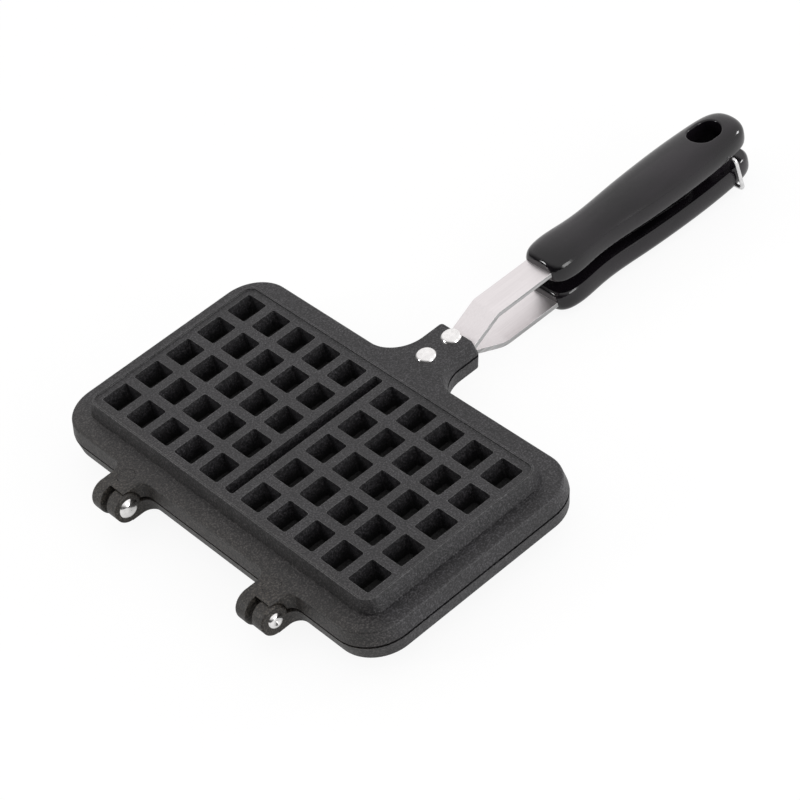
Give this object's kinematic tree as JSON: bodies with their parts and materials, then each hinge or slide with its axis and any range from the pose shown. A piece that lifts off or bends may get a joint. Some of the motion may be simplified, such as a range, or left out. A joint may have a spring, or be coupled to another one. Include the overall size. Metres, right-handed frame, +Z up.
{
  "type": "stove-top waffle pan",
  "caption": "Hinged double-sided stove-top waffle pan with ribbed cast plates, a divided baking cavity, paired long handles and a wire bail that keeps the handles together.",
  "frame": {"origin": "centre of the lip that the closed pan rests on, under the middle of the lower plate", "axes": "+X along the hinges towards the picture's right end, +Y from the hinges to the handles, +Z up"},
  "size_m": [0.2448, 0.3784, 0.0372],
  "materials": {
    "cast_body": "dark non-stick coat over cast aluminium, finely speckled, satin",
    "strap_steel": "satin sheet steel",
    "rivet_metal": "bright pressed metal",
    "wire_steel": "bright wire",
    "grip_plastic": "glossy black thermoset"
  },
  "bodies": {
    "base": {"lower_plate": "cast_body", "left_hinge_rivet": "rivet_metal", "right_hinge_rivet": "rivet_metal", "lower_handle_strap": "strap_steel", "lower_neck_rivet_inner": "rivet_metal", "lower_neck_rivet_outer": "rivet_metal", "lower_grip": "grip_plastic"},
    "lid": {"upper_plate": "cast_body", "upper_handle_strap": "strap_steel", "upper_neck_rivet_inner": "rivet_metal", "upper_neck_rivet_outer": "rivet_metal", "upper_grip": "grip_plastic"},
    "bail": {"handle_bail": "wire_steel"}
  },
  "joints": [
    {"name": "lid_hinge", "type": "hinge", "parent": "base", "child": "lid", "pos_m": [0, -0.0782, 0.016], "axis": [1, 0, 0], "range_deg": [0, 180]},
    {"name": "bail_swing", "type": "hinge", "parent": "base", "child": "bail", "pos_m": [0, 0.277, -0.0005], "axis": [-1, 0, 0], "range_deg": [0, 95]}
  ]
}
